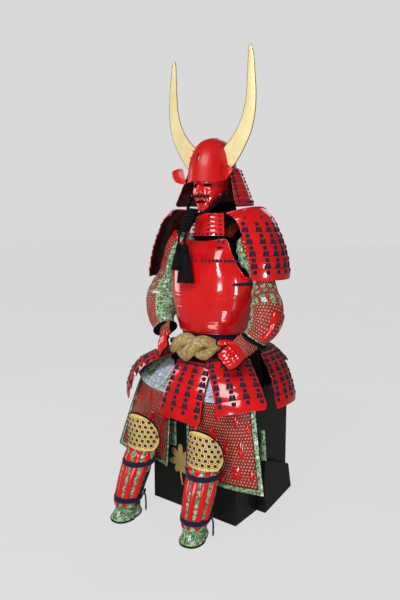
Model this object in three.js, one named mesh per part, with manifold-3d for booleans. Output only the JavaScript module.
// Samurai armour seated on its storage chest, hollow as worn, with no wearer inside.
// Millimetres, +Z up. The figure faces -Y and its left side is +X.
// The origin is the middle of the chest's underside.
import * as THREE from "three";
import { mergeVertices } from "three/addons/utils/BufferGeometryUtils.js";
import Module from "manifold-3d";

const wasm = await Module();
wasm.setup();

// ---- Driving sizes -------------------------------------------------------------------
const GAP = 0.4; // left between touching pieces
const LAME = 2.5; // thickness of a lacquered lame
const CLOTH = 2.5; // thickness of brocade with its backing
const CHEST = { width: 450, depth: 428, height: 535, lid: 90, wall: 12, board: 42 };
const HELMET = { halfWidth: 94, halfDepth: 113, yTop: -60, yRim: -74, top: 1546, rim: 1366, wall: 3 };
const NECK = {
  lames: 5, top: 1426, bottom: 1277, halfWidthTop: 102, halfWidthBottom: 145,
  depthTop: 98, depthBottom: 104,
};
const MASK = { top: 1392, chin: 1252, halfWidth: 72, depth: 96, y: -66 };
const THROAT = { lames: 5, top: 1246, bottom: 1156, halfWidth: 92, y: -148 };
const TORSO = { bottom: 762, armhole: 985, top: 1146, backTop: 1166, wall: 3 };
const SIDES = { left: 1, right: -1 };

const RED = { color: 0xb3100c, roughness: 0.2, metalness: 0 };
const NAVY = { color: 0x12152c, roughness: 0.8, metalness: 0 };
const BLACK = { color: 0x0c0c0c, roughness: 0.5, metalness: 0 };
const GREEN = { color: 0x5f8a55, roughness: 0.8, metalness: 0 };
const MAIL = { color: 0x7a2a20, roughness: 0.7, metalness: 0 };
const GOLD = { color: 0xd8c070, roughness: 0.35, metalness: 0.8 };
const YELLOW = { color: 0xc9ab48, roughness: 0.7, metalness: 0 };
const ROPE = { color: 0xa98f4c, roughness: 0.8, metalness: 0 };
const FLORAL = { color: 0xc9c6dd, roughness: 0.8, metalness: 0 };

const armour = new THREE.Group();

// ---- Mesh helpers --------------------------------------------------------------------
const vec = (x, y, z) => new THREE.Vector3(x, y, z);
const mix = THREE.MathUtils.lerp;
const rad = THREE.MathUtils.degToRad;
const range = (n) => Array.from({ length: n }, (_, i) => i);

function addMesh(name, geometry, finish) {
  const mesh = new THREE.Mesh(geometry, new THREE.MeshStandardMaterial(finish));
  mesh.name = name;
  armour.add(mesh);
  return mesh;
}

// A geometry from points and triangles, turned to face outwards.
function closedGeometry(points, triangles) {
  const volume = triangles.reduce((sum, [a, b, c]) => {
    const normal = points[b].clone().cross(points[c]);
    return sum + points[a].dot(normal);
  }, 0);
  const faces = volume < 0 ? triangles.map(([a, b, c]) => [a, c, b]) : triangles;
  const geometry = new THREE.BufferGeometry();
  geometry.setAttribute(
    "position",
    new THREE.Float32BufferAttribute(points.flatMap((p) => p.toArray()), 3),
  );
  geometry.setIndex(faces.flat());
  return geometry;
}

// A wall between two like grids of points. A ring joins its last column to its first,
// and a capped one closes its first row over the top.
function wallGeometry(outer, inner, { ring = false, capped = false } = {}) {
  const rows = outer.length;
  const columns = outer[0].length;
  const points = [...outer.flat(), ...inner.flat()];
  const triangles = [];
  const out = (i, j) => i * columns + (j % columns);
  const back = (i, j) => rows * columns + out(i, j);
  const quad = (a, b, c, d) => triangles.push([a, b, c], [a, c, d]);
  const spans = ring ? columns : columns - 1;
  for (const i of range(rows - 1)) {
    for (const j of range(spans)) {
      quad(out(i, j), out(i, j + 1), out(i + 1, j + 1), out(i + 1, j));
      quad(back(i, j), back(i + 1, j), back(i + 1, j + 1), back(i, j + 1));
    }
  }
  const last = rows - 1;
  for (const j of range(spans)) {
    quad(out(last, j), out(last, j + 1), back(last, j + 1), back(last, j));
    if (!capped) quad(out(0, j + 1), out(0, j), back(0, j), back(0, j + 1));
  }
  if (capped) {
    for (const [row, at, flip] of [[outer[0], out, false], [inner[0], back, true]]) {
      const middle = row.reduce((sum, p) => sum.add(p), vec(0, 0, 0)).divideScalar(columns);
      const centre = points.push(middle) - 1;
      for (const j of range(columns)) {
        const [a, b] = flip ? [at(0, j), at(0, j + 1)] : [at(0, j + 1), at(0, j)];
        triangles.push([centre, a, b]);
      }
    }
  }
  if (!ring) {
    const end = columns - 1;
    for (const i of range(last)) {
      quad(out(i, 0), out(i + 1, 0), back(i + 1, 0), back(i, 0));
      quad(out(i + 1, end), out(i, end), back(i, end), back(i + 1, end));
    }
  }
  return closedGeometry(points, triangles);
}

// The outward normal of surface(a, b), where a runs round to the left seen from the
// front and b runs down.
function normalAt(surface, a, b) {
  const step = 1e-3;
  const across = surface(a + step, b).sub(surface(a - step, b));
  const down = surface(a, Math.min(1, b + step)).sub(surface(a, Math.max(0, b - step)));
  return down.cross(across).normalize();
}

// A wall of even thickness that lies inside surface(a, b).
function sheetGeometry(surface, { rows, columns, thickness, ...closing }) {
  const spans = closing.ring ? columns : columns - 1;
  const outer = [];
  const inner = [];
  for (const i of range(rows)) {
    const b = i / (rows - 1);
    outer.push(range(columns).map((j) => surface(j / spans, b)));
    inner.push(range(columns).map((j) => {
      const normal = normalAt(surface, j / spans, b);
      return outer[i][j].clone().addScaledVector(normal, -thickness);
    }));
  }
  return wallGeometry(outer, inner, closing);
}

// Laced lames as one stepped wall: each lower lame lies outside the one above.
function lamesGeometry(surface, { lames, columns, thickness = LAME, step = 3, lap = 0.035 }) {
  const outerRows = [[0, 0]];
  const innerRows = [[0, 0]];
  for (const k of range(lames - 1)) {
    const edge = (k + 1) / lames;
    outerRows.push([edge, k * step], [edge, (k + 1) * step], [edge + lap, (k + 1) * step]);
    innerRows.push([edge, k * step], [edge + lap, k * step], [edge + lap, (k + 1) * step]);
  }
  outerRows.push([1, (lames - 1) * step]);
  innerRows.push([1, (lames - 1) * step]);
  const gridOf = (list, depth) => list.map(([b, lift]) => range(columns).map((j) => {
    const a = j / (columns - 1);
    return surface(a, b).addScaledVector(normalAt(surface, a, b), lift - depth);
  }));
  return wallGeometry(gridOf(outerRows, 0), gridOf(innerRows, thickness));
}

// A tube wall around a centre line, open at both ends.
function sleeveGeometry(line, radii, { sides, steps, thickness }) {
  const curve = new THREE.CatmullRomCurve3(line);
  const outer = [];
  const inner = [];
  for (const i of range(steps + 1)) {
    const at = i / steps;
    const centre = curve.getPoint(at);
    const along = curve.getTangent(at);
    const across = vec(0, -1, 0).cross(along).normalize();
    const out = along.clone().cross(across);
    const place = at * (radii.length - 1);
    const k = Math.min(Math.floor(place), radii.length - 2);
    const radius = mix(radii[k], radii[k + 1], place - k);
    const ringOf = (r) => range(sides).map((j) => {
      const angle = (j / sides) * 2 * Math.PI;
      return centre.clone()
        .addScaledVector(across, r * Math.cos(angle))
        .addScaledVector(out, r * Math.sin(angle));
    });
    outer.push(ringOf(radius));
    inner.push(ringOf(radius - thickness));
  }
  return wallGeometry(outer, inner, { ring: true });
}

// A solid cord along a line.
function cordGeometry(line, radius, steps, sides = 8) {
  const section = new THREE.Shape(range(sides).map((j) => {
    const angle = (j / sides) * 2 * Math.PI;
    return new THREE.Vector2(radius * Math.cos(angle), radius * Math.sin(angle));
  }));
  const extrudePath = new THREE.CatmullRomCurve3(line);
  return new THREE.ExtrudeGeometry(section, { steps, extrudePath, bevelEnabled: false });
}

// A lofted solid through horizontal oval sections {x, y, z, a, b}, closed at both ends.
function ovalSolid(sections, sides) {
  const points = sections.flatMap(({ x, y, z, a, b }) => range(sides).map((j) => {
    const angle = (j / sides) * 2 * Math.PI;
    return vec(x + a * Math.cos(angle), y + b * Math.sin(angle), z);
  }));
  const triangles = [];
  for (const i of range(sections.length - 1)) {
    for (const j of range(sides)) {
      const [p, q] = [i * sides + j, i * sides + ((j + 1) % sides)];
      triangles.push([p, q, q + sides], [p, q + sides, p + sides]);
    }
  }
  const end = (sections.length - 1) * sides;
  for (const j of range(sides - 2)) {
    triangles.push([0, j + 2, j + 1], [end, end + j + 1, end + j + 2]);
  }
  return closedGeometry(points, triangles);
}

function toManifold(geometry) {
  const bare = geometry.clone();
  bare.deleteAttribute("normal");
  bare.deleteAttribute("uv");
  const merged = mergeVertices(bare, 1e-3);
  return new wasm.Manifold(new wasm.Mesh({
    numProp: 3,
    vertProperties: merged.attributes.position.array,
    triVerts: new Uint32Array(merged.index.array),
  }));
}

function fromManifold(solid) {
  const { vertProperties, triVerts } = solid.getMesh();
  const geometry = new THREE.BufferGeometry();
  geometry.setAttribute("position", new THREE.BufferAttribute(vertProperties, 3));
  geometry.setIndex(new THREE.BufferAttribute(triVerts, 1));
  return geometry;
}

function cut(geometry, ...tools) {
  let solid = toManifold(geometry);
  for (const tool of tools) solid = solid.subtract(toManifold(tool));
  return fromManifold(solid);
}

function join(geometry, ...others) {
  let solid = toManifold(geometry);
  for (const other of others) solid = solid.add(toManifold(other));
  return fromManifold(solid);
}

const box = (width, depth, height, x, y, z) =>
  new THREE.BoxGeometry(width, depth, height).translate(x, y, z);

// A point round an upright oval: angle 0 is the front, +90 degrees the figure's left.
function onOval(angle, halfWidth, halfDepth, squareness = 2) {
  const power = 2 / squareness;
  const bend = (t) => Math.sign(t) * Math.abs(t) ** power;
  return [halfWidth * bend(Math.sin(angle)), -halfDepth * bend(Math.cos(angle))];
}

// ---- Chest ---------------------------------------------------------------------------
function buildChest() {
  const { width, depth, height, lid, wall, board } = CHEST;
  const bodyHeight = height - lid;
  const inset = 8;
  const bodyWidth = width - 2 * inset;
  const bodyDepth = depth - 2 * inset;
  const hollow = box(bodyWidth - 2 * wall, bodyDepth - 2 * wall, bodyHeight, 0, 0,
    wall + bodyHeight / 2);
  addMesh("chest_body", cut(box(bodyWidth, bodyDepth, bodyHeight, 0, 0, bodyHeight / 2),
    hollow), BLACK);
  const cap = box(width, depth, lid, 0, 0, height - lid / 2 + GAP);
  const capHollow = box(bodyWidth - 2 * wall, bodyDepth - 2 * wall, lid, 0, 0,
    height - lid / 2 - wall);
  addMesh("chest_lid", cut(cap, capHollow), BLACK);

  // A five-sided board stands on the floor against each side of the chest.
  const outline = new THREE.Shape();
  outline.moveTo(-depth / 2 + 170, 0);
  outline.lineTo(depth / 2 - 30, 33);
  outline.lineTo(depth / 2 - 60, 150);
  outline.lineTo(-50, 236);
  outline.lineTo(-depth / 2 + 158, 160);
  outline.closePath();
  const shape = new THREE.ExtrudeGeometry(outline, { depth: board, bevelEnabled: false });
  shape.rotateX(Math.PI / 2).rotateZ(Math.PI / 2);
  for (const [side, sign] of Object.entries(SIDES)) {
    const edge = bodyWidth / 2 + GAP;
    const board3d = shape.clone().translate(sign > 0 ? edge : -edge - board, 0, 0);
    addMesh(`chest_foot_${side}`, board3d, BLACK);
  }
}

// ---- Helmet --------------------------------------------------------------------------
// The bowl's surface, grown outwards by some distance.
function bowlSurface(grow = 0) {
  const { halfWidth, halfDepth, yTop, yRim, top, rim } = HELMET;
  return (a, b) => {
    const angle = a * 2 * Math.PI;
    const rimHere = rim + 46 * (1 - Math.cos(angle)) / 2 + 6 * Math.cos(3 * angle);
    const polar = mix(0.06, 1, b) * Math.PI / 2;
    const flare = Math.sin(polar) ** 0.72;
    const [x, dy] = onOval(angle, (halfWidth + grow) * flare, (halfDepth + grow) * flare);
    const height = Math.max(0, Math.cos(polar)) ** 0.95;
    return vec(x, mix(yTop, yRim, b) + dy, mix(rimHere, top + grow, height));
  };
}

function buildHelmet() {
  addMesh("helmet_bowl", sheetGeometry(bowlSurface(), {
    rows: 9, columns: 24, thickness: HELMET.wall, ring: true, capped: true,
  }), RED);
  for (const [side, sign] of Object.entries(SIDES)) {
    addMesh(`horn_${side}`, hornGeometry(sign), GOLD);
    addMesh(`turn_back_${side}`, turnBackGeometry(sign), RED);
  }
}

// A solid that fills the bowl and a little more, to cut its neighbours clear.
function bowlFilled() {
  const surface = bowlSurface(0.6);
  const sides = 24;
  const rows = 9;
  const points = range(rows).flatMap((i) =>
    range(sides).map((j) => surface(j / sides, i / (rows - 1))));
  const triangles = [];
  for (const i of range(rows - 1)) {
    for (const j of range(sides)) {
      const [p, q] = [i * sides + j, i * sides + ((j + 1) % sides)];
      triangles.push([p, q, q + sides], [p, q + sides, p + sides]);
    }
  }
  const apex = points.push(vec(0, HELMET.yTop, HELMET.top + 0.6)) - 1;
  const foot = points.push(vec(0, HELMET.yRim, HELMET.rim)) - 1;
  const end = (rows - 1) * sides;
  for (const j of range(sides)) {
    const next = (j + 1) % sides;
    triangles.push([apex, next, j], [foot, end + j, end + next]);
  }
  return closedGeometry(points, triangles);
}

// A flat crescent that rises from the side of the bowl, cut to fit the bowl.
function hornGeometry(sign) {
  const thickness = 5;
  const at = (x, z) => new THREE.Vector2(sign * x, z);
  const crescent = new THREE.Shape();
  crescent.moveTo(sign * 112, 1426);
  crescent.splineThru([at(168, 1506), at(195, 1562), at(210, 1628), at(213, 1690),
    at(207, 1770), at(197, 1850), at(189, 1874)]);
  crescent.splineThru([at(181, 1868), at(177, 1810), at(174, 1740), at(167, 1666),
    at(149, 1607), at(118, 1556), at(70, 1506)]);
  crescent.closePath();
  const blade = new THREE.ExtrudeGeometry(crescent, {
    depth: thickness, bevelEnabled: false, curveSegments: 2,
  });
  blade.rotateX(Math.PI / 2).translate(0, -84.5, 0);
  return cut(blade, bowlFilled());
}

// The small plate that the top lame turns back beside the brim.
function turnBackGeometry(sign) {
  const surface = (a, b) => {
    const out = sign > 0 ? a : 1 - a;
    const x = mix(101, 152, out) - 7 * (2 * b - 1) ** 2;
    const low = mix(1384, 1377, out);
    return vec(sign * x, -122 - 18 * out - 5 * Math.sin(Math.PI * b), low + 40 * (1 - b));
  };
  return sheetGeometry(surface, { rows: 5, columns: 5, thickness: LAME });
}

// The neck guard is a horseshoe round the back of the head, open over the face.
function neckSurface(a, b) {
  const { top, bottom, halfWidthTop, halfWidthBottom, depthTop, depthBottom } = NECK;
  const arc = mix(-118, 118, a);
  const beyond = Math.max(0, (Math.abs(arc) - 90) / 28);
  const angle = rad(180 + THREE.MathUtils.clamp(arc, -90, 90));
  const halfWidth = mix(halfWidthTop, halfWidthBottom, b);
  const [x, dy] = onOval(angle, halfWidth, mix(depthTop, depthBottom, b), 2.2);
  const forward = beyond * mix(52, 108, b);
  return vec(x, mix(-46, -20, b) + dy - forward, mix(top, bottom, b) - 5 * beyond);
}

function buildNeckGuard() {
  addMesh("neck_guard", lamesGeometry(neckSurface, {
    lames: NECK.lames, columns: 15, thickness: 2, step: 2,
  }), RED);
}

// ---- Mask and throat guard -----------------------------------------------------------
function maskSurface(a, b) {
  const { top, chin, halfWidth, depth, y } = MASK;
  const angle = rad(mix(-92, 92, a));
  const jaw = Math.max(0, (b - 0.45) / 0.55);
  const narrow = 1 - 0.34 * jaw ** 1.6;
  const [x, dy] = onOval(angle, halfWidth * narrow, depth - 14 * b, 2.1);
  const middle = Math.cos(angle) ** 2;
  const nose = 17 * Math.exp(-((x / 13) ** 2)) * Math.exp(-(((b - 0.34) / 0.17) ** 2));
  const lips = 5 * Math.exp(-((x / 24) ** 2)) * Math.exp(-(((b - 0.66) / 0.12) ** 2));
  const chinBump = 7 * Math.exp(-((x / 22) ** 2)) * Math.exp(-(((b - 0.93) / 0.1) ** 2));
  const rise = (1 - middle) * 62 * b ** 2;
  return vec(x, y + dy - nose - lips - chinBump, mix(top, chin, b) + rise);
}

function buildMask() {
  const plain = sheetGeometry(maskSurface, { rows: 11, columns: 17, thickness: 3 });
  const bore = (width, height, x, z) => new THREE.SphereGeometry(1, 8, 6)
    .scale(width / 2, 60, height / 2).translate(x, MASK.y - MASK.depth, z);
  const face = cut(plain, bore(33, 14, -30, 1358), bore(33, 14, 30, 1358),
    bore(44, 10, 0, 1297));
  addMesh("face_mask", face, RED);

  // The moustache is a thin crescent of hair on the upper lip.
  const hair = (a, b) => {
    const at = maskSurface(mix(0.31, 0.69, a), 0.5);
    const droop = 9 * (2 * a - 1) ** 2;
    return vec(at.x, at.y - 9, 1316 - droop - 9 * b * (1 - 0.6 * (2 * a - 1) ** 2));
  };
  addMesh("moustache", sheetGeometry(hair, { rows: 2, columns: 9, thickness: 3 }), BLACK);
}

function throatSurface(a, b) {
  const { top, bottom, halfWidth, y } = THROAT;
  const across = mix(-1, 1, a);
  const flare = mix(0.92, 1, b);
  return vec(across * halfWidth * flare, y + 38 * across ** 2 - 6 * b, mix(top, bottom, b));
}

function buildThroatGuard() {
  addMesh("throat_guard", lamesGeometry(throatSurface, {
    lames: THROAT.lames, columns: 7, thickness: 2, step: 1.6,
  }), RED);
}

// ---- Cuirass -------------------------------------------------------------------------
// Half width, front and back reach from the torso's axis, at heights up the cuirass.
const TORSO_LEVELS = [
  { z: 690, side: 140, front: 168, back: 42 },
  { z: 762, side: 152, front: 176, back: 48 },
  { z: 800, side: 168, front: 187, back: 60 },
  { z: 860, side: 184, front: 196, back: 74 },
  { z: 930, side: 192, front: 198, back: 86 },
  { z: 1000, side: 189, front: 194, back: 96 },
  { z: 1060, side: 178, front: 186, back: 102 },
  { z: 1110, side: 160, front: 166, back: 104 },
  { z: 1170, side: 142, front: 122, back: 98 },
];

function torsoPoint(angle, z, grow = 0) {
  const k = Math.max(0, TORSO_LEVELS.findIndex((level) => level.z >= z) - 1);
  const [low, high] = [TORSO_LEVELS[k], TORSO_LEVELS[k + 1]];
  const up = (z - low.z) / (high.z - low.z);
  const value = (key) => mix(low[key], high[key], up);
  const middle = -50;
  const reach = Math.cos(angle) > 0 ? value("front") + middle : value("back") - middle;
  const squareness = mix(2.2, 2.7, THREE.MathUtils.clamp((z - 900) / 200, 0, 1));
  const [x, dy] = onOval(angle, value("side") + grow, reach + grow, squareness);
  return vec(x, middle + dy, z);
}

// How far the cuirass's edge has dropped from its crown to the armhole, by degrees.
const ARMHOLE_CURVE = [[0, 0], [38, 0], [46, 0.1], [52, 0.4], [60, 0.66], [72, 0.93], [84, 1]];

function cuirassTop(angle, crown) {
  const away = THREE.MathUtils.radToDeg(Math.abs(angle));
  const k = ARMHOLE_CURVE.findIndex(([degrees]) => degrees > away);
  if (k < 0) return TORSO.armhole;
  const [[from, start], [to, finish]] = [ARMHOLE_CURVE[k - 1], ARMHOLE_CURVE[k]];
  return mix(crown, TORSO.armhole, mix(start, finish, (away - from) / (to - from)));
}

function cuirassFrontSurface(a, b) {
  const angle = rad(mix(-89.6, 89.6, a));
  const top = cuirassTop(angle, TORSO.top);
  return torsoPoint(angle, mix(top, TORSO.bottom, b));
}

function cuirassBackSurface(a, b) {
  const away = rad(mix(-89.6, 89.6, a));
  const top = cuirassTop(away, TORSO.backTop);
  return torsoPoint(away + Math.PI, mix(top, TORSO.bottom, b));
}

function buildCuirass() {
  const build = { rows: 8, columns: 19, thickness: TORSO.wall };
  addMesh("cuirass_front", sheetGeometry(cuirassFrontSurface, build), RED);
  addMesh("cuirass_back", sheetGeometry(cuirassBackSurface, build), RED);

  // Each shoulder strap arches from the back plate to the breast, clear of both.
  for (const [side, sign] of Object.entries(SIDES)) {
    const line = new THREE.CatmullRomCurve3([
      vec(92, 60, 1172), vec(98, 30, 1196), vec(102, -14, 1206), vec(98, -62, 1190),
      vec(88, -100, 1156),
    ]);
    const halfStrap = 25;
    const strap = (a, b) => {
      const middle = line.getPoint(b);
      const across = sign * mix(1, -1, a);
      return vec(sign * (middle.x + across * halfStrap), middle.y, middle.z - 7 * across);
    };
    addMesh(`shoulder_strap_${side}`, sheetGeometry(strap, {
      rows: 9, columns: 3, thickness: 4,
    }), RED);
  }

  // The cloth band below the cuirass hides the laces that hold the skirt.
  const band = (a, b) => {
    const z = mix(760, 664, b);
    return torsoPoint(a * 2 * Math.PI, Math.max(690, z), -6).setZ(z);
  };
  addMesh("waist_band", sheetGeometry(band, {
    rows: 3, columns: 22, thickness: CLOTH, ring: true,
  }), NAVY);
}

// ---- Belt ----------------------------------------------------------------------------
function buildBelt() {
  const ring = range(16).map((j) => {
    const angle = rad(62 + (236 * j) / 15);
    const point = torsoPoint(angle, 700, 17);
    return point.setZ(708 - 12 * Math.cos(angle));
  });
  addMesh("belt_wrap", cordGeometry(ring, 15, 24, 8), ROPE);
  const rings = 9;
  const sections = range(rings).map((i) => {
    const at = i / (rings - 1);
    const x = mix(-130, 120, at);
    const swell = Math.sin(Math.PI * mix(0.12, 0.9, at)) ** 0.6;
    return { x, swell, z: 704 + 16 * at, y: -204 + 26 * (2 * at - 1) ** 2 };
  });
  const sides = 10;
  const points = sections.flatMap(({ x, y, z, swell }) => range(sides).map((j) => {
    const angle = (j / sides) * 2 * Math.PI;
    return vec(x, y + 25 * swell * Math.cos(angle), z + 56 * swell * Math.sin(angle));
  }));
  const triangles = [];
  for (const i of range(sections.length - 1)) {
    for (const j of range(sides)) {
      const [p, q] = [i * sides + j, i * sides + ((j + 1) % sides)];
      triangles.push([p, q, q + sides], [p, q + sides, p + sides]);
    }
  }
  const end = (sections.length - 1) * sides;
  for (const j of range(sides - 2)) {
    triangles.push([0, j + 2, j + 1], [end, end + j + 1, end + j + 2]);
  }
  addMesh("belt_knot", closedGeometry(points, triangles), ROPE);
}

// ---- Hanging plates: shoulder guards and skirt ---------------------------------------
// A curved plate between a top and a bottom line, which bows outwards by its sagitta.
function hungSurface(plate) {
  const { top, bottom, out, halfTop, halfBottom, bowTop, bowBottom, bulge, tilt = 0 } = plate;
  const outward = vec(...out).normalize();
  const side = vec(-outward.y, outward.x, 0).normalize();
  const [high, low] = [vec(...top), vec(...bottom)];
  return (a, b) => {
    const across = mix(-1, 1, a);
    const point = high.clone().lerp(low, b);
    point.addScaledVector(side, across * mix(halfTop, halfBottom, b));
    point.z += tilt * across * b;
    const bow = mix(bowTop, bowBottom, b) * (1 - across ** 2);
    return point.addScaledVector(outward, bow + bulge * Math.sin(Math.PI * b));
  };
}

const SHOULDER_PLATES = {
  left: {
    top: [180, -20, 1216], bottom: [236, -12, 985], out: [0.97, -0.16, 0],
    halfTop: 116, halfBottom: 108, bowTop: 68, bowBottom: 54, bulge: 18,
  },
  right: {
    top: [-196, -30, 1214], bottom: [-250, -22, 972], out: [-0.97, 0.16, 0],
    halfTop: 112, halfBottom: 118, bowTop: 68, bowBottom: 70, bulge: 18,
  },
};

function buildShoulderGuards() {
  for (const [side, plate] of Object.entries(SHOULDER_PLATES)) {
    const surface = hungSurface(plate);
    addMesh(`shoulder_guard_${side}`, lamesGeometry(surface, {
      lames: 5, columns: 8,
    }), RED);
    // The crown plate turns inwards over the shoulder.
    const crown = (a, b) => {
      const low = surface(a, 0);
      const lean = 1 - b;
      const inwards = -Math.sign(low.x) * (28 * lean + 20 * lean ** 2);
      const arch = Math.cos((a - 0.5) * 2.4) ** 0.7;
      return vec(low.x + inwards, low.y, low.z + 5 + 46 * lean * arch);
    };
    addMesh(`shoulder_crown_${side}`, sheetGeometry(crown, {
      rows: 4, columns: 9, thickness: LAME,
    }), RED);
  }
}

// Seven hanging skirt pieces round the waist.
const SKIRT = {
  skirt_front: {
    top: [-8, -182, 638], bottom: [4, -289, 420], out: [0, -1, 0.45],
    halfTop: 88, halfBottom: 98, bowTop: 14, bowBottom: 16, bulge: 12, tilt: -8,
  },
  skirt_front_left: {
    top: [126, -138, 660], bottom: [266, -240, 486], out: [0.6, -0.78, 0.62],
    halfTop: 90, halfBottom: 88, bowTop: 16, bowBottom: 20, bulge: 18, tilt: 13,
  },
  skirt_front_right: {
    top: [-162, -126, 663], bottom: [-336, -200, 456], out: [-0.75, -0.62, 0.62],
    halfTop: 82, halfBottom: 88, bowTop: 16, bowBottom: 20, bulge: 56, tilt: -10,
  },
  skirt_left: {
    top: [203, 66, 672], bottom: [305, 2, 470], out: [1, 0.05, 0.35],
    halfTop: 78, halfBottom: 84, bowTop: 10, bowBottom: 16, bulge: 16,
  },
  skirt_right: {
    top: [-203, 66, 672], bottom: [-305, 30, 470], out: [-1, 0.05, 0.35],
    halfTop: 78, halfBottom: 84, bowTop: 10, bowBottom: 16, bulge: 16,
  },
  skirt_back_left: {
    top: [80, 118, 712], bottom: [92, 290, 566], out: [0.12, 0.7, 0.8],
    halfTop: 62, halfBottom: 84, bowTop: 8, bowBottom: 10, bulge: 10,
  },
  skirt_back_right: {
    top: [-80, 118, 712], bottom: [-92, 290, 566], out: [-0.12, 0.7, 0.8],
    halfTop: 62, halfBottom: 84, bowTop: 8, bowBottom: 10, bulge: 10,
  },
};

function buildSkirt() {
  for (const [name, plate] of Object.entries(SKIRT)) {
    addMesh(name, lamesGeometry(hungSurface(plate), { lames: 5, columns: 6 }), RED);
  }
}

// ---- Sleeves and hands ---------------------------------------------------------------
const ARMS = {
  left: {
    line: [[166, -50, 1148], [198, -54, 1100], [222, -50, 1040], [232.5, -46, 990],
      [254, -66, 926], [286, -104, 876], [290, -132, 820], [262, -152, 764]],
    hand: {
      wrist: [222, -180, 732], knuckle: [190, -252, 682], thumb: [146, -250, 749],
      out: [0.77, -0.56, 0.3],
    },
  },
  right: {
    line: [[-158, -44, 1148], [-186, -50, 1104], [-217, -54, 1046], [-240, -62, 990],
      [-262, -76, 936], [-268, -88, 886], [-248, -114, 808], [-208, -136, 758]],
    hand: {
      wrist: [-170, -170, 738], knuckle: [-130, -234, 684], thumb: [-96, -226, 744],
      out: [-0.5, -0.8, 0.3],
    },
  },
};
const SLEEVE_RADII = [54, 58, 48, 41, 51, 64, 58, 45];

function buildSleeves() {
  for (const [side, { line, hand }] of Object.entries(ARMS)) {
    const points = line.map((p) => vec(...p));
    addMesh(`sleeve_${side}`, sleeveGeometry(points, SLEEVE_RADII, {
      sides: 12, steps: 12, thickness: CLOTH,
    }), MAIL);
    const last = points.at(-1);
    const along = last.clone().sub(points.at(-2)).normalize();
    const start = last.clone().addScaledVector(along, 0.5);
    const finish = last.clone().addScaledVector(along, 17);
    addMesh(`wrist_band_${side}`, sleeveGeometry([start, finish], [49, 49], {
      sides: 14, steps: 1, thickness: 5,
    }), BLACK);
    buildHand(side, hand);
  }
}

// A curved plate over the back of the hand, joined to a smaller one over the thumb.
function buildHand(side, { wrist, knuckle, thumb, out }) {
  const [from, to, tip] = [wrist, knuckle, thumb].map((p) => vec(...p));
  const sign = SIDES[side];
  const along = to.clone().sub(from).normalize();
  const outward = vec(...out);
  outward.addScaledVector(along, -outward.dot(along)).normalize();
  const across = outward.clone().cross(along).normalize();
  const back = (a, b) => {
    const s = mix(-1, 1, a);
    const curl = Math.max(0, b - 0.62) / 0.38;
    const width = mix(40, 48, Math.min(1, b * 1.6));
    return from.clone().lerp(to, b * 1.12)
      .addScaledVector(across, -s * width)
      .addScaledVector(outward, 20 * (1 - s ** 2) + 6 - 24 * curl ** 2);
  };
  const palm = sheetGeometry(back, { rows: 6, columns: 7, thickness: 3 });
  const root = from.clone().lerp(to, 0.3).addScaledVector(across, -sign * 34);
  const thumbAlong = tip.clone().sub(root).normalize();
  const thumbAcross = outward.clone().cross(thumbAlong).normalize();
  const thumbPlate = (a, b) => {
    const s = mix(-1, 1, a);
    return root.clone().lerp(tip, b)
      .addScaledVector(thumbAcross, -s * 17 * (1 - 0.45 * b ** 3))
      .addScaledVector(outward, 12 * (1 - s ** 2) + 2);
  };
  const thumbGuard = sheetGeometry(thumbPlate, { rows: 4, columns: 5, thickness: 3 });
  addMesh(`hand_guard_${side}`, join(palm, thumbGuard), RED);
}

// ---- Thigh guard ---------------------------------------------------------------------
const APRON = { halfWidth: 292, hem: 506, rise: 40 };

// An apron from the waist over the chest's front edge, then two hanging panels.
function apronSurface(a, b) {
  const across = mix(-1, 1, a);
  const x = across * mix(150, APRON.halfWidth, b);
  const waist = -140 + 62 * across ** 2;
  const knee = -256 + 68 * across ** 4;
  const hem = APRON.hem + APRON.rise * Math.abs(across) ** 3;
  return vec(x, mix(waist, knee, b), mix(640, hem, b) + 16 * Math.sin(Math.PI * b));
}

function panelSurface(sign) {
  const inner = sign > 0 ? 8 : -68;
  const innerLow = sign > 0 ? 24 : -78;
  const outer = sign * APRON.halfWidth;
  const outerLow = sign > 0 ? 366 : -392;
  return (a, b) => {
    const out = sign > 0 ? a : 1 - a;
    const x = mix(mix(inner, outer, out), mix(innerLow, outerLow, out), b);
    const share = Math.abs(mix(inner, outer, out)) / APRON.halfWidth;
    const start = -256 + 68 * share ** 4;
    const high = APRON.hem - 3 + APRON.rise * share ** 3;
    const end = -272 + 30 * out ** 2 + 5 * Math.sin(7 * out);
    const low = sign > 0 ? mix(180, 186, out) : mix(196, 216, out);
    return vec(x, mix(start, end, b ** 0.6), mix(high, low, b));
  };
}

function buildThighGuard() {
  addMesh("thigh_apron", sheetGeometry(apronSurface, {
    rows: 5, columns: 15, thickness: CLOTH,
  }), FLORAL);
  for (const [side, sign] of Object.entries(SIDES)) {
    addMesh(`thigh_panel_${side}`, sheetGeometry(panelSurface(sign), {
      rows: 6, columns: 9, thickness: CLOTH,
    }), MAIL);
  }
}

// ---- Legs ----------------------------------------------------------------------------
const LEGS = {
  left: {
    ankle: [133, -370], knee: [160, -332], low: 52, high: 300, ties: [0.1, 0.8],
    guard: [174, -332], guardLow: 303, guardHigh: 446, toe: [150, -441], heel: [120, -300],
  },
  right: {
    ankle: [-198, -402], knee: [-148, -346], low: 52, high: 308, ties: [0.1, 0.7],
    guard: [-126, -346], guardLow: 311, guardHigh: 455, toe: [-194, -476], heel: [-196, -332],
  },
};

function shinSurface({ ankle, knee, low, high }, grow = 0) {
  return (a, b) => {
    const angle = rad(mix(-138, 138, a));
    const swell = 4 * Math.sin(Math.PI * (1 - b));
    const radius = mix(60, 49, b) + swell + grow;
    const [x, y] = onOval(angle, radius, radius);
    return vec(mix(knee[0], ankle[0], b) + x, mix(knee[1], ankle[1], b) + y,
      mix(high, low, b));
  };
}

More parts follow.
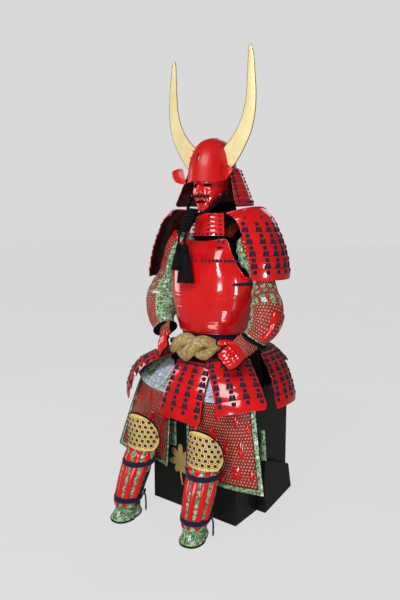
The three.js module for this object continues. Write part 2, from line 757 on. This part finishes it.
function kneeSurface({ guard, guardLow, guardHigh }) {
  return (a, b) => {
    const across = mix(-1, 1, a);
    const up = 1 - b;
    const round = Math.sqrt(Math.max(0, 1 - (up * 0.86) ** 4));
    const angle = across * rad(78) * round;
    const [x, y] = onOval(angle, 84, 74);
    return vec(guard[0] + x, guard[1] + y - 6 * Math.sin(Math.PI * up) + 10 * up,
      mix(guardHigh, guardLow, b) - 12 * across ** 2 * up);
  };
}

function buildLegs() {
  for (const [side, leg] of Object.entries(LEGS)) {
    addMesh(`shin_guard_${side}`, sheetGeometry(shinSurface(leg), {
      rows: 3, columns: 13, thickness: 4,
    }), GREEN);
    addMesh(`knee_guard_${side}`, sheetGeometry(kneeSurface(leg), {
      rows: 7, columns: 9, thickness: 6,
    }), YELLOW);
    for (const [k, place] of ["upper", "lower"].entries()) {
      const shin = shinSurface(leg, 4.6);
      const tie = (a, b) => shin(a, leg.ties[k] + 0.085 * b);
      addMesh(`shin_tie_${place}_${side}`, sheetGeometry(tie, {
        rows: 2, columns: 13, thickness: 3,
      }), NAVY);
    }
    buildShoe(side, leg);
  }
}

// The shoe is a hollow slipper with a sole, open at the ankle.
function buildShoe(side, { toe, heel }) {
  const [front, back] = [vec(...toe, 0), vec(...heel, 0)];
  const along = front.clone().sub(back);
  const length = along.length();
  along.normalize();
  const across = vec(-along.y, along.x, 0);
  const outline = (at, angle, height, shrink) => {
    const [x, y] = onOval(angle, 49 - shrink, length / 2 - shrink, 2.4);
    return back.clone().addScaledVector(along, length / 2 - y * at)
      .addScaledVector(across, -x * (1 - 0.12 * (y > 0))).setZ(height);
  };
  const upper = (a, b) => {
    const angle = a * 2 * Math.PI;
    const frontness = Math.max(0, Math.cos(angle));
    const high = mix(46, 44, frontness);
    const lean = (1 - b) ** 2;
    const point = outline(1, angle, mix(high, 7.4, b), 0);
    const ankle = back.clone().addScaledVector(along, length * 0.42).setZ(point.z);
    return point.lerp(ankle, 0.34 * lean * (0.3 + 1.1 * frontness));
  };
  addMesh(`shoe_${side}`, sheetGeometry(upper, {
    rows: 5, columns: 16, thickness: CLOTH, ring: true,
  }), GREEN);
  const sole = new THREE.Shape(range(16).map((j) => {
    const point = outline(1, (j / 16) * 2 * Math.PI, 0, -1.5);
    return new THREE.Vector2(point.x, point.y);
  }));
  addMesh(`sole_${side}`, new THREE.ExtrudeGeometry(sole, {
    depth: 7, bevelEnabled: false,
  }), BLACK);
}

// ---- Cords ---------------------------------------------------------------------------
function buildCords() {
  // The chin cord runs from cheek to cheek under the chin, behind its knot.
  const jaw = [[78, -90, 1334], [76, -116, 1306], [64, -150, 1274], [40, -178, 1251]];
  const mirrored = jaw.map(([x, y, z]) => [-x, y, z]).reverse();
  const chinLine = [...jaw, [0, -190, 1240], ...mirrored].map((p) => vec(...p));
  addMesh("chin_cord", cordGeometry(chinLine, 5, 24), BLACK);
  const wrap = ovalSolid([
    { x: -2, y: -212, z: 1255, a: 12, b: 9 }, { x: -4, y: -213, z: 1246, a: 21, b: 16 },
    { x: -10, y: -208, z: 1220, a: 21, b: 16 }, { x: -16, y: -203, z: 1198, a: 17, b: 14 },
    { x: -18, y: -202, z: 1190, a: 9, b: 8 },
  ], 10);
  addMesh("chin_knot", wrap, BLACK);
  const tassels = {
    long: {
      route: [[-21, -204, 1186], [-26, -212, 1168], [-30, -216, 1146], [-30, -216, 1124]],
      drop: 158, wide: 36, drift: 0,
    },
    short: {
      route: [[-30, -203, 1190], [-52, -208, 1176], [-62, -213, 1156], [-62, -214, 1128]],
      drop: 112, wide: 20, drift: -16,
    },
  };
  for (const [name, { route, drop, wide, drift }] of Object.entries(tassels)) {
    addMesh(`tassel_cord_${name}`, cordGeometry(route.map((p) => vec(...p)), 4, 6), BLACK);
    const [x, y, z] = route.at(-1);
    const profile = [[0, 0.12], [0.04, 0.38], [0.1, 0.38], [0.17, 0.33], [0.3, 0.5],
      [0.6, 0.75], [1, 1]];
    addMesh(`tassel_${name}`, ovalSolid(profile.map(([down, share]) => ({
      x: x + drift * down, y, z: z - GAP - drop * down,
      a: wide * share, b: Math.min(wide * share, 15),
    })), 10), BLACK);
  }
}

// The loose end of each lower shin tie hangs beside the heel.
const TIE_ENDS = {
  left: [[199, -350, 98], [202, -345, 88], [203, -342, 72], [203, -341, 50], [202, -341, 22]],
  right: [[-124, -376, 112], [-120, -371, 102], [-119, -369, 84], [-119, -368, 60],
    [-120, -368, 34]],
};

function buildTieEnds() {
  for (const [side, route] of Object.entries(TIE_ENDS)) {
    addMesh(`tie_end_${side}`, cordGeometry(route.map((p) => vec(...p)), 3.5, 7), NAVY);
  }
}

buildChest();
buildHelmet();
buildNeckGuard();
buildMask();
buildThroatGuard();
buildCuirass();
buildBelt();
buildShoulderGuards();
buildSkirt();
buildSleeves();
buildThighGuard();
buildLegs();
buildCords();
buildTieEnds();

export default armour;
